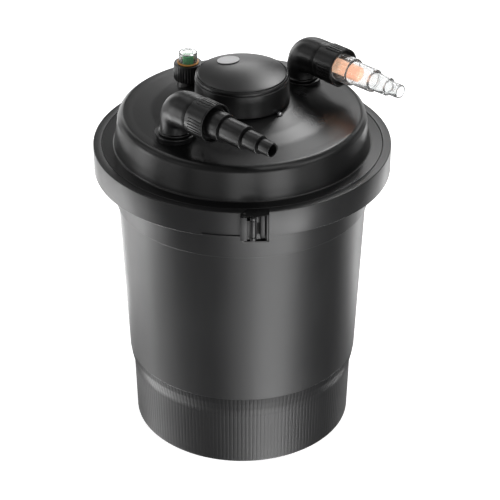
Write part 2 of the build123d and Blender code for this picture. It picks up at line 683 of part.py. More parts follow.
with BuildPart() as centre_tube:
    with BuildSketch(Plane.XY.offset(30.4)):
        Circle(TUBE_R)
        Circle(TUBE_R - TUBE_T, mode=Mode.SUBTRACT)
    extrude(amount=409.6)
    for azimuth in range(0, 180, 45):
        outward = (cos(radians(azimuth)), sin(radians(azimuth)), 0)
        with BuildSketch(Plane(origin=(0, 0, 0), x_dir=(0, 0, 1), z_dir=outward)):
            for row in range(8):
                with Locations((67.0 + 43.0 * row, 0)):
                    SlotOverall(28.0, 7.0)
        extrude(amount=TUBE_R + 5.0, both=True, mode=Mode.SUBTRACT)
save(centre_tube, "centre_tube")

ROD_SPOTS = [(ROD_CIRCLE * cos(radians(a)), ROD_CIRCLE * sin(radians(a))) for a in (60, 180, 300)]


def media_disc(bottom, thickness, outer, slots):
    """Disc round the centre tube with holes for the down pipe and the three tie rods."""
    with BuildPart() as disc:
        with BuildSketch(Plane.XY.offset(bottom)):
            Circle(outer)
            Circle(TUBE_R + 0.4, mode=Mode.SUBTRACT)
            with Locations((INLET_X, INLET_Y)):
                Circle(17.5, mode=Mode.SUBTRACT)
            with Locations(*ROD_SPOTS):
                Circle(ROD_R + 0.4, mode=Mode.SUBTRACT)
            if slots:
                for circle, count in ((46.0, 12), (60.0, 16), (74.0, 20), (88.0, 24)):
                    with PolarLocations(circle, count, start_angle=6.0):
                        Circle(3.6, mode=Mode.SUBTRACT)
        extrude(amount=thickness)
    return disc


FOAMS = ("foam_1_coarse", "foam_2_coarse", "foam_3_medium", "foam_4_medium", "foam_5_fine")
for index, name in enumerate(FOAMS):
    save(media_disc(FOAM_Z + FOAM_H * index, FOAM_H - 0.4, FOAM_R, False), name)

base_grate = media_disc(26.0, 4.0, FOAM_R - 0.5, True)
with BuildPart() as grate_with_feet:
    add(base_grate.part)
    with BuildSketch(Plane.XY.offset(8.1)):
        with PolarLocations(128.0, 6, start_angle=30.0):
            Circle(5.0)
    extrude(amount=18.2)
save(grate_with_feet, "base_grate")
save(media_disc(FOAM_Z + FOAM_H * 5 + 1.0, 4.0, FOAM_R, True), "press_plate")

with BuildPart() as tie_rods:
    for spot in ROD_SPOTS:
        with BuildSketch(Plane.XY.offset(22.0)):
            with Locations(spot):
                Circle(ROD_R)
        extrude(amount=392.0)
        with BuildSketch(Plane.XY.offset(19.0)):
            with Locations(spot):
                Circle(7.5)
        extrude(amount=6.6)
save(tie_rods, "tie_rods")

with BuildPart() as wing_nuts:
    for spot in ROD_SPOTS:
        with BuildSketch(Plane.XY.offset(FOAM_Z + FOAM_H * 5 + 5.3)):
            with Locations(spot):
                Circle(8.5)
                Rectangle(34.0, 5.0)
                Circle(ROD_R + 0.05, mode=Mode.SUBTRACT)
        extrude(amount=10.0)
save(wing_nuts, "wing_nuts")
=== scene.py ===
import bpy
import bmesh
import math
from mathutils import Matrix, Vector


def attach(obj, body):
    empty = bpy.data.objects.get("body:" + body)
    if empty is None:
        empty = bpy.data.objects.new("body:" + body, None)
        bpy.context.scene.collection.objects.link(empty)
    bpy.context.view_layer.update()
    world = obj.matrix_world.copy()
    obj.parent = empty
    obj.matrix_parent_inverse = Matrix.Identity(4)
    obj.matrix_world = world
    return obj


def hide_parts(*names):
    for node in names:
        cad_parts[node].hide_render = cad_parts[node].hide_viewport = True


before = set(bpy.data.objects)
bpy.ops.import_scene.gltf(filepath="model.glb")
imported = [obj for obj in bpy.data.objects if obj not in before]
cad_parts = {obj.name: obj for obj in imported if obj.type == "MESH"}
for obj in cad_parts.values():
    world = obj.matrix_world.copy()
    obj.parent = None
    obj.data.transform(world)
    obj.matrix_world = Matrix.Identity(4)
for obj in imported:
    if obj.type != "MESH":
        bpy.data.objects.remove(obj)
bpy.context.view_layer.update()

MM = 0.001
TAU = 2 * math.pi

# lengths are in mm unless a name ends in _M
# name, upright axis of the elbow (x, y), and distance from it to the union nut's face
PORTS = (("inlet", -86.0, -81.5, 74.5), ("outlet", 81.0, 81.5, 76.5))
TAIL_Z = 518.5


# ---------------------------------------------------------------- mesh helpers (profiles are in mm)
def rounded(points, steps=5):
    """Outline with its corners rounded; each point is (r, z) or (r, z, corner radius)."""
    out = []
    count = len(points)
    for i, p in enumerate(points):
        radius = p[2] if len(p) > 2 else 0.0
        if radius <= 0 or i == 0 or i == count - 1:
            out.append((p[0], p[1]))
            continue
        here = Vector(p[:2])
        a = Vector(points[i - 1][:2]) - here
        b = Vector(points[i + 1][:2]) - here
        angle = a.angle(b)
        reach = min(radius / math.tan(angle / 2), 0.48 * a.length, 0.48 * b.length)
        r = reach * math.tan(angle / 2)
        a.normalize()
        b.normalize()
        centre = here + (a + b).normalized() * (r / math.sin(angle / 2))
        first = here + a * reach - centre
        last = here + b * reach - centre
        sweep = first.angle(last)
        sign = 1 if first.x * last.y - first.y * last.x > 0 else -1
        for k in range(steps + 1):
            t = sign * sweep * k / steps
            c, s = math.cos(t), math.sin(t)
            out.append((centre.x + first.x * c - first.y * s, centre.y + first.x * s + first.y * c))
    return out


def make_mesh(name, bm, sharp=32):
    """Smooth-shaded object in the scene, with edges above the sharp angle (degrees) left crisp."""
    bmesh.ops.recalc_face_normals(bm, faces=bm.faces)
    me = bpy.data.meshes.new(name)
    bm.to_mesh(me)
    bm.free()
    me.shade_smooth()
    me.set_sharp_from_angle(angle=math.radians(sharp))
    ob = bpy.data.objects.new(name, me)
    bpy.context.scene.collection.objects.link(ob)
    return ob


UPRIGHT = (Vector((0, 0, 0)), Vector((1, 0, 0)), Vector((0, 1, 0)), Vector((0, 0, 1)))


def upright_at(x, y):
    """Base of an upright piece: its origin and its three directions."""
    return (Vector((x, y, 0)), *UPRIGHT[1:])


def place(base, u, v, w):
    """Point of a base's own coordinates, in metres."""
    o, x, y, z = base
    return (o + x * u + y * v + z * w) * MM


def lathe(name, outline, segments, base=UPRIGHT, start=0.0, end=TAU, radius_of=None, sharp=32):
    """Solid turned from a closed outline of (radius, height) points, whole or a sector.

    radius_of(radius, height, column) may change each point's radius.
    """
    bm = bmesh.new()
    whole = abs(end - start - TAU) < 1e-6
    columns = segments if whole else segments + 1
    grid = []
    for j in range(columns):
        t = start + (end - start) * j / segments
        c, s = math.cos(t), math.sin(t)
        column = []
        for r, z in outline:
            rr = radius_of(r, z, j) if radius_of else r
            column.append(bm.verts.new(place(base, rr * c, rr * s, z)))
        grid.append(column)
    rows = len(outline)
    for j in range(segments):
        a, b = grid[j], grid[(j + 1) % columns]
        for i in range(rows):
            k = (i + 1) % rows
            # points on the axis coincide, and leave a triangle or nothing
            keep = []
            for v in (a[i], b[i], b[k], a[k]):
                if all((v.co - w.co).length > 1e-9 for w in keep):
                    keep.append(v)
            if len(keep) > 2:
                bm.faces.new(keep)
    if not whole:
        bm.faces.new(grid[0])
        bm.faces.new(list(reversed(grid[-1])))
    bmesh.ops.remove_doubles(bm, verts=bm.verts, dist=1e-7)
    return make_mesh(name, bm, sharp)


def prism(name, outline, bottom, top, base=UPRIGHT, *, bevel, bevel_steps=3):
    """Upright block from a plan outline, with softened edges."""
    bm = bmesh.new()
    low = [bm.verts.new(place(base, x, y, bottom)) for x, y in outline]
    high = [bm.verts.new(place(base, x, y, top)) for x, y in outline]
    bm.faces.new(list(reversed(low)))
    bm.faces.new(high)
    n = len(outline)
    for i in range(n):
        k = (i + 1) % n
        bm.faces.new([low[i], low[k], high[k], high[i]])
    bmesh.ops.recalc_face_normals(bm, faces=bm.faces)
    edges = [e for e in bm.edges if len(e.link_faces) == 2 and e.calc_face_angle(0) > math.radians(30)]
    bmesh.ops.bevel(bm, geom=edges, offset=bevel * MM, segments=bevel_steps, profile=0.5,
                    affect='EDGES', clamp_overlap=True)
    return make_mesh(name, bm)


def tube(name, path, segments, sharp):
    """Closed solid through (centre, direction, radius) stations: out along the skin, back along the bore."""
    bm = bmesh.new()
    rings = []
    for centre, direction, radius in path:
        d = direction.normalized()
        side = Vector((-d.y, d.x, 0))
        if side.length < 1e-4:
            side = Vector((1, 1, 0))
        side.normalize()
        other = d.cross(side)
        rings.append([bm.verts.new((centre + side * (radius * math.cos(TAU * k / segments))
                                    + other * (radius * math.sin(TAU * k / segments))) * MM)
                      for k in range(segments)])
    for a, b in zip(rings, rings[1:] + rings[:1]):
        for k in range(segments):
            m = (k + 1) % segments
            bm.faces.new([a[k], a[m], b[m], b[k]])
    return make_mesh(name, bm, sharp)


def circle_points(x, y, radius, count, start=0.0, end=TAU):
    """Plan points round a circle, or along an arc with both its ends."""
    whole = abs(end - start - TAU) < 1e-6
    n = count if whole else count + 1
    return [(x + radius * math.cos(start + (end - start) * k / count),
             y + radius * math.sin(start + (end - start) * k / count)) for k in range(n)]


def join(name, parts):
    """Puts several meshes into one named object."""
    bm = bmesh.new()
    for part in parts:
        bm.from_mesh(part.data)
    me = bpy.data.meshes.new(name)
    bm.to_mesh(me)
    bm.free()
    for part in parts:
        bpy.data.objects.remove(part, do_unlink=True)
    ob = bpy.data.objects.new(name, me)
    bpy.context.scene.collection.objects.link(ob)
    return ob


# ---------------------------------------------------------------- materials
GRAIN_DEPTH_M = 0.00003
RIPPLE_DEPTH_M = 0.0003
CELL_DEPTH_M = 0.002


def new_material(name):
    mat = bpy.data.materials.new(name)
    mat.use_nodes = True
    nodes = mat.node_tree.nodes
    links = mat.node_tree.links
    shader = nodes["Principled BSDF"]
    return mat, nodes, links, shader


def noise(nodes, links, coords, scale, detail, roughness=0.55, stretch=None):
    """Noise in the piece's own coordinates."""
    vector = coords.outputs["Object"]
    if stretch:
        mapping = nodes.new("ShaderNodeMapping")
        mapping.inputs["Scale"].default_value = stretch
        links.new(vector, mapping.inputs["Vector"])
        vector = mapping.outputs["Vector"]
    tex = nodes.new("ShaderNodeTexNoise")
    tex.inputs["Scale"].default_value = scale
    tex.inputs["Detail"].default_value = detail
    tex.inputs["Roughness"].default_value = roughness
    links.new(vector, tex.inputs["Vector"])
    return tex.outputs["Fac"]


def ramp(nodes, links, value, low, high, a=0.35, b=0.65):
    """Value that goes from low to high while the input goes from a to b."""
    node = nodes.new("ShaderNodeMapRange")
    node.inputs["From Min"].default_value = a
    node.inputs["From Max"].default_value = b
    node.inputs["To Min"].default_value = low
    node.inputs["To Max"].default_value = high
    links.new(value, node.inputs["Value"])
    return node.outputs["Result"]


def mix_colour(nodes, links, value, first, second):
    node = nodes.new("ShaderNodeMix")
    node.data_type = 'RGBA'
    node.inputs["A"].default_value = (*first, 1)
    node.inputs["B"].default_value = (*second, 1)
    links.new(value, node.inputs["Factor"])
    return node.outputs["Result"]


def moulded(name, colour, lighter, rough, grain, rough_spread=0.06, coat=0.0, stretch=None, specular=0.5):
    """Moulded plastic: faint mottling, uneven gloss and a fine moulded grain."""
    mat, nodes, links, shader = new_material(name)
    coords = nodes.new("ShaderNodeTexCoord")
    broad = noise(nodes, links, coords, 9.0, 2.0)
    blotch = noise(nodes, links, coords, 60.0, 4.0, 0.6, stretch)
    fine = noise(nodes, links, coords, grain, 2.0, 0.5)
    colour_out = mix_colour(nodes, links, ramp(nodes, links, blotch, 0.0, 1.0, 0.3, 0.7), colour, lighter)
    links.new(colour_out, shader.inputs["Base Color"])
    links.new(ramp(nodes, links, broad, rough - rough_spread, rough + rough_spread, 0.3, 0.7),
              shader.inputs["Roughness"])
    bump = nodes.new("ShaderNodeBump")
    bump.inputs["Strength"].default_value = 0.35
    bump.inputs["Distance"].default_value = GRAIN_DEPTH_M
    links.new(fine, bump.inputs["Height"])
    links.new(bump.outputs["Normal"], shader.inputs["Normal"])
    shader.inputs["Specular IOR Level"].default_value = specular
    shader.inputs["Coat Weight"].default_value = coat
    shader.inputs["Coat Roughness"].default_value = 0.18
    return mat


def metal(name, colour, rough):
    """Turned metal with fine streaks."""
    mat, nodes, links, shader = new_material(name)
    coords = nodes.new("ShaderNodeTexCoord")
    streaks = noise(nodes, links, coords, 500.0, 3.0, 0.6, (1.0, 1.0, 0.08))
    links.new(mix_colour(nodes, links, ramp(nodes, links, streaks, 0.0, 1.0, 0.3, 0.7),
                         tuple(c * 0.82 for c in colour), colour), shader.inputs["Base Color"])
    links.new(ramp(nodes, links, streaks, rough * 0.75, rough * 1.3), shader.inputs["Roughness"])
    shader.inputs["Metallic"].default_value = 1.0
    return mat


def clear(name, tint, rough, ior=1.49, deep=None, haze=0.0, painted_glow=0.0):
    """Clear plastic; a deeper tint gives it blotches and haze makes it milky; the glow is painted light, an
    emission standing in for light that reaches it through clear parts.
    """
    mat, nodes, links, shader = new_material(name)
    coords = nodes.new("ShaderNodeTexCoord")
    flow = noise(nodes, links, coords, 45.0, 2.0)
    links.new(mix_colour(nodes, links, ramp(nodes, links, flow, 0.0, 1.0, 0.38, 0.62), tint,
                         deep or tuple(c * 0.97 for c in tint)), shader.inputs["Base Color"])
    links.new(ramp(nodes, links, flow, rough * 0.6, rough * 1.6), shader.inputs["Roughness"])
    shader.inputs["Transmission Weight"].default_value = 1.0 - haze
    # a glow above zero is painted light: emission standing in for light that reaches the piece, though it is
    # no lamp
    shader.inputs["Emission Color"].default_value = (*tint, 1.0)
    shader.inputs["Emission Strength"].default_value = painted_glow
    shader.inputs["IOR"].default_value = ior
    bump = nodes.new("ShaderNodeBump")
    bump.inputs["Strength"].default_value = 0.2
    bump.inputs["Distance"].default_value = RIPPLE_DEPTH_M
    links.new(flow, bump.inputs["Height"])
    links.new(bump.outputs["Normal"], shader.inputs["Normal"])
    return mat


def foam(name, colour, pore_shade_colour, cell):
    """Open-celled foam, its pits painted darker as shade in the pores; cell is how many cells there are to a
    metre.
    """
    mat, nodes, links, shader = new_material(name)
    coords = nodes.new("ShaderNodeTexCoord")
    cells = nodes.new("ShaderNodeTexVoronoi")
    cells.inputs["Scale"].default_value = cell
    links.new(coords.outputs["Object"], cells.inputs["Vector"])
    value = ramp(nodes, links, cells.outputs["Distance"], 0.0, 1.0, 0.1, 0.55)
    # painted shade: the colour darkens towards each cell's centre, where the bump makes a pit
    links.new(mix_colour(nodes, links, value, pore_shade_colour, colour), shader.inputs["Base Color"])
    bump = nodes.new("ShaderNodeBump")
    bump.inputs["Strength"].default_value = 1.0
    bump.inputs["Distance"].default_value = CELL_DEPTH_M
    links.new(value, bump.inputs["Height"])
    links.new(bump.outputs["Normal"], shader.inputs["Normal"])
    shader.inputs["Roughness"].default_value = 0.95
    return mat


def drum_moulding(name):
    return moulded(name, (0.010, 0.010, 0.0105), (0.012, 0.012, 0.0125), 0.36, 1400.0, rough_spread=0.03,
                   stretch=(1.0, 1.0, 0.25))


CHARCOAL = drum_moulding("charcoal_moulding")
# the same moulding for the slope at the top of the flutes, where the gloss fades with height
SLOPE = drum_moulding("slope_moulding")
FADE_LOW_M, FADE_HIGH_M = 0.076, 0.092
slope_nodes, slope_links = SLOPE.node_tree.nodes, SLOPE.node_tree.links
split = slope_nodes.new("ShaderNodeSeparateXYZ")
slope_coords = next(n for n in slope_nodes if n.type == 'TEX_COORD')
slope_links.new(slope_coords.outputs["Object"], split.inputs["Vector"])
slope_links.new(ramp(slope_nodes, slope_links, split.outputs["Z"], 0.5, 0.18, FADE_LOW_M, FADE_HIGH_M),
                slope_nodes["Principled BSDF"].inputs["Specular IOR Level"])
RING = moulded("ring_moulding", (0.011, 0.011, 0.0115), (0.013, 0.013, 0.0135), 0.34, 1400.0,
               rough_spread=0.03)
BLACK = moulded("lid_moulding", (0.004, 0.004, 0.0042), (0.005, 0.005, 0.0052), 0.30, 1600.0,
                rough_spread=0.03)
HEAD = moulded("head_moulding", (0.005, 0.005, 0.0052), (0.006, 0.006, 0.0062), 0.30, 1600.0,
               rough_spread=0.03)
PIPE = moulded("pipe_moulding", (0.004, 0.004, 0.0042), (0.005, 0.005, 0.0052), 0.36, 1600.0,
               rough_spread=0.03)
GREY = moulded("grey_moulding", (0.16, 0.165, 0.17), (0.19, 0.195, 0.2), 0.5, 900.0)
RUBBER = moulded("black_rubber_skin", (0.008, 0.008, 0.008), (0.012, 0.012, 0.012), 0.7, 700.0)
# the gel's glow is painted light: an emission that stands in for the light reaching it inside the clear tail
ORANGE = clear("orange_silicone_gel", (1.0, 0.76, 0.58), 0.28, 1.2, deep=(1.0, 0.58, 0.42), haze=0.35,
               painted_glow=0.30)
GREEN = moulded("green_float", (0.02, 0.50, 0.12), (0.03, 0.58, 0.15), 0.3, 500.0, coat=0.4)
AMBER = moulded("amber_seal", (0.62, 0.27, 0.05), (0.70, 0.33, 0.08), 0.35, 600.0)
MATT = moulded("matt_black_moulding", (0.003, 0.003, 0.0031), (0.004, 0.004, 0.0041), 0.7, 1200.0,
               specular=0.1)
WHITE = moulded("lamp_body", (0.72, 0.72, 0.70), (0.80, 0.80, 0.78), 0.25, 500.0)
SILVER = moulded("badge_silver", (0.62, 0.62, 0.63), (0.66, 0.66, 0.67), 0.42, 700.0, specular=0.6)
STEEL = metal("stainless_steel", (0.62, 0.62, 0.64), 0.22)
CLEAR = clear("clear_moulding", (0.93, 0.94, 0.94), 0.08, haze=0.07)
QUARTZ = clear("quartz_tube", (0.97, 0.98, 0.99), 0.01, 1.46)
# each foam's second colour is painted shade in its pores
FOAM_BLUE = foam("foam_blue_cells", (0.05, 0.16, 0.45), (0.01, 0.04, 0.14), 220.0)
FOAM_YELLOW = foam("foam_yellow_cells", (0.70, 0.52, 0.10), (0.25, 0.16, 0.03), 330.0)
FOAM_RED = foam("foam_red_cells", (0.45, 0.06, 0.04), (0.15, 0.02, 0.015), 450.0)

for node, mat in {
        "canister": CHARCOAL, "lid": BLACK, "lid_seal": RUBBER, "clamp_ring": RING, "latch_lever": RING,
        "latch_link": BLACK, "latch_link_strap": BLACK, "latch_hook_bar": RING, "latch_pivot_pin": RUBBER,
        "latch_link_pin": RUBBER, "indicator_nut": BLACK, "indicator_cup": CLEAR, "indicator_seal": RUBBER,
        "indicator_wiper_ring": AMBER, "indicator_float": GREEN,
        "uv_head_housing": HEAD, "uv_head_cover": HEAD, "uv_head_badge": SILVER,
        "uv_bayonet_ring": GREY, "uv_head_seal": RUBBER, "uv_lock_screw": STEEL, "uv_lock_washer": STEEL,
        "quartz_sleeve": QUARTZ, "quartz_seal": RUBBER, "quartz_clamp_nut": GREY, "uv_lamp": WHITE,
        "uv_lamp_socket": GREY, "uv_ballast": GREY, "cover_screws": STEEL, "cable_gland": BLACK,
        "inlet_downpipe": GREY, "centre_tube": GREY, "base_grate": GREY, "press_plate": GREY,
        "tie_rods": STEEL, "wing_nuts": GREY, "foam_1_coarse": FOAM_BLUE, "foam_2_coarse": FOAM_BLUE,
        "foam_3_medium": FOAM_YELLOW, "foam_4_medium": FOAM_YELLOW, "foam_5_fine": FOAM_RED,
        "inlet_elbow": PIPE, "outlet_elbow": PIPE, "inlet_union_nut": PIPE, "outlet_union_nut": PIPE,
        "inlet_hose_tail": PIPE, "outlet_hose_tail": CLEAR, "inlet_tail_seal": RUBBER,
        "outlet_tail_seal": ORANGE, "inlet_swivel_seal": RUBBER, "outlet_swivel_seal": RUBBER,
        "inlet_retaining_clip": STEEL, "outlet_retaining_clip": STEEL}.items():
    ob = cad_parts[node]
    ob.data.materials.clear()
    ob.data.materials.append(mat)


def finish_piece(ob, mat, body, slot, *nodes):
    """Gives a piece its material and its body, and hides the CAD nodes that it stands for; slot is not used.
    """
    ob.data.materials.clear()
    ob.data.materials.append(mat)
    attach(ob, body)
    if nodes:
        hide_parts(*nodes)


# ---------------------------------------------------------------- drum
FLUTES = 180
FLUTE_FOOT, FLUTE_TOP = 2.5, 110.2
FLUTE_DEPTHS = (0.0, 0.0, 0.0, 0.0, 0.06, 0.2, 0.06, 0.0)
SKIN_R = 149.0


def drum_radius(r, z, column):
    if r < SKIN_R or not FLUTE_FOOT <= z <= FLUTE_TOP:
        return r
    fade = min(1.0, (z - FLUTE_FOOT) / 2.0, (FLUTE_TOP - z) / 1.2)
    return r - FLUTE_DEPTHS[column % len(FLUTE_DEPTHS)] * fade


outer = [(0.0, 0.0), (150.0, 0.0, 1.5), (151.4, 1.6, 2.0), (151.5, 4.6), (152.2, 30.0), (153.0, 57.0),
         (153.8, 84.0, 60.0), (157.6, 101.0, 30.0), (158.7, 108.8, 10.0), (158.8, FLUTE_TOP, 0.3),
         (159.0, 110.6, 0.3), (168.6, 342.1, 1.0), (171.6, 343.3, 1.0), (171.6, 394.0), (196.4, 394.0),
         (196.4, 410.0), (188.0, 410.0), (188.0, 404.0), (180.0, 404.0), (180.0, 410.0), (167.6, 410.0),
         (167.6, 345.5), (164.6, 342.5), (155.0, 110.5), (149.8, 84.0), (147.4, 8.0), (0.0, 8.0)]
drum = lathe("drum", rounded(outer), FLUTES * len(FLUTE_DEPTHS), radius_of=drum_radius, sharp=50)
finish_piece(drum, CHARCOAL, "vessel", "charcoal_plastic", "canister")
# the flange inside the clamp ring is matt and dark, and the slope at the top of the flutes is less glossy
drum.data.materials.append(RUBBER)
drum.data.materials.append(SLOPE)
for polygon in drum.data.polygons:
    x, y, z = polygon.center / MM
    distance = math.hypot(x, y)
    if 75.0 < z < 110.1 and distance > 152.5:
        polygon.material_index = 2
    if z > 393.5 and distance > 175.0:
        polygon.material_index = 1

# ---------------------------------------------------------------- lid
shell = [(27.0, 487.0, 0.6), (27.0, 470.0), (31.0, 470.0), (31.0, 477.6), (62.0, 477.6), (95.0, 475.0),
         (118.0, 470.2), (150.0, 468.0, 10.0), (161.5, 461.0, 8.0), (168.0, 410.4), (196.4, 410.4),
         (196.4, 423.6, 1.0), (188.4, 423.6), (188.4, 426.6, 0.6), (171.9, 426.6, 2.2),
         (165.2, 471.5, 11.5), (146.0, 472.3, 30.0), (118.0, 474.2, 80.0), (95.0, 479.0, 90.0),
         (69.0, 486.6, 30.0), (62.0, 487.0)]
lid_parts = [lathe("lid_shell", rounded(shell, 10), 256, sharp=50)]
for _, x, y, _ in PORTS:
    boss = [(15.35, 446.0), (21.0, 446.0), (21.0, 469.0), (25.6, 470.0), (25.6, 477.0, 1.5),
            (26.9, 478.4, 0.5), (26.9, 481.0, 0.6), (18.2, 481.0, 0.5), (18.2, 476.0), (15.35, 476.0)]
    lid_parts.append(lathe("boss", rounded(boss), 96, upright_at(x, y)))
INDICATOR = upright_at(-73.0, 63.0)
lid_parts.append(lathe("neck", rounded([(8.3, 470.0), (17.6, 472.0), (14.7, 484.5, 4.0), (14.7, 504.0, 0.5),
                                        (8.3, 504.0, 0.4)]), 96, INDICATOR))
LOCK = upright_at(48.7, -46.3)
lid_parts.append(lathe("lock_boss", rounded([(2.05, 480.0), (4.8, 480.0), (4.2, 486.0, 1.0),
                                             (4.2, 486.9, 0.3), (2.05, 486.9, 0.2)]), 48, LOCK))
finish_piece(join("lid_moulding", lid_parts), BLACK, "vessel", "black_plastic", "lid")

# ---------------------------------------------------------------- clamp ring and latch
PIVOT_X, PIVOT_Y, HOOK_X, HOOK_Y = 13.7, -206.2, 31.6, -203.9
# the ring is split behind the latch
RING_R = 200.0
gap = math.atan2(-198.9, 20.6)
half_gap = 2.2 / RING_R
section = rounded([(176.0, 390.5, 0.6), (RING_R, 390.5, 1.0), (RING_R, 427.0, 1.1), (188.8, 427.0, 0.7),
                   (188.8, 424.0), (197.0, 424.0), (197.0, 393.5), (176.0, 393.5, 0.6)])
ring_parts = [lathe("ring_band", section, 360, start=gap + half_gap, end=gap + TAU - half_gap)]
ring_parts.append(prism("lug", [(22.9, -196.8), (28.9, -196.8), (28.9, -204.0), (22.9, -204.0)],
                        391.2, 426.8, bevel=0.8))
for level in (391.4, 420.6):
    ear = [(9.1, -198.4)] + circle_points(PIVOT_X, PIVOT_Y, 4.4, 18, math.pi, TAU) + [(17.1, -198.4)]
    ring_parts.append(prism("ear", ear, level, level + 4.4, bevel=0.4))
finish_piece(join("ring_band_and_lugs", ring_parts), RING, "vessel", "ring_plastic", "clamp_ring")


def arc_points(radius, first, last):
    """Points round the ring's axis; angles in degrees from the front, positive to the right."""
    count = 40
    angles = [math.radians(first + (last - first) * k / count) for k in range(count + 1)]
    return [(radius * math.sin(a), -radius * math.cos(a)) for a in angles]


handle = arc_points(201.5, -14.8, 0.2) + arc_points(200.4, -14.8, 0.2)[::-1]
lever_parts = [prism("handle", handle, 391.0, 394.0, bevel=0.35)]
lever_parts.append(prism("block", [(-2.6, -200.5), (6.0, -200.5), (6.0, -208.9), (-2.6, -208.9)],
                         391.1, 425.2, bevel=0.6))
lever_parts.append(prism("knuckle", circle_points(PIVOT_X, PIVOT_Y, 4.4, 32), 396.4, 420.0, bevel=0.5))
lever_parts.append(prism("arm", [(3.0, -203.0), (13.7, -203.0), (13.7, -207.4), (3.0, -207.4)], 396.6, 419.8,
                         bevel=0.4))
finish_piece(join("latch_handle", lever_parts), RING, "latch_lever", "ring_plastic", "latch_lever")

plate = [(-2.4, -206.5), (-2.0, -210.2), (6.0, -210.6), (16.5, -212.6), (34.2, -206.8), (34.2, -193.4),
         (6.4, -193.4)]
finish_piece(prism("latch_cover_plate", plate, 427.4, 429.2, bevel=0.3), MATT, "latch_link", "black_plastic",
             "latch_link")
bar = (circle_points(HOOK_X, HOOK_Y - 0.9, 2.3, 12, math.pi, TAU)
       + circle_points(HOOK_X, HOOK_Y + 0.9, 2.3, 12, 0, math.pi))
finish_piece(prism("latch_bar", bar, 390.2, 427.4, bevel=0.3), RING, "latch_link", "ring_plastic",
             "latch_hook_bar")


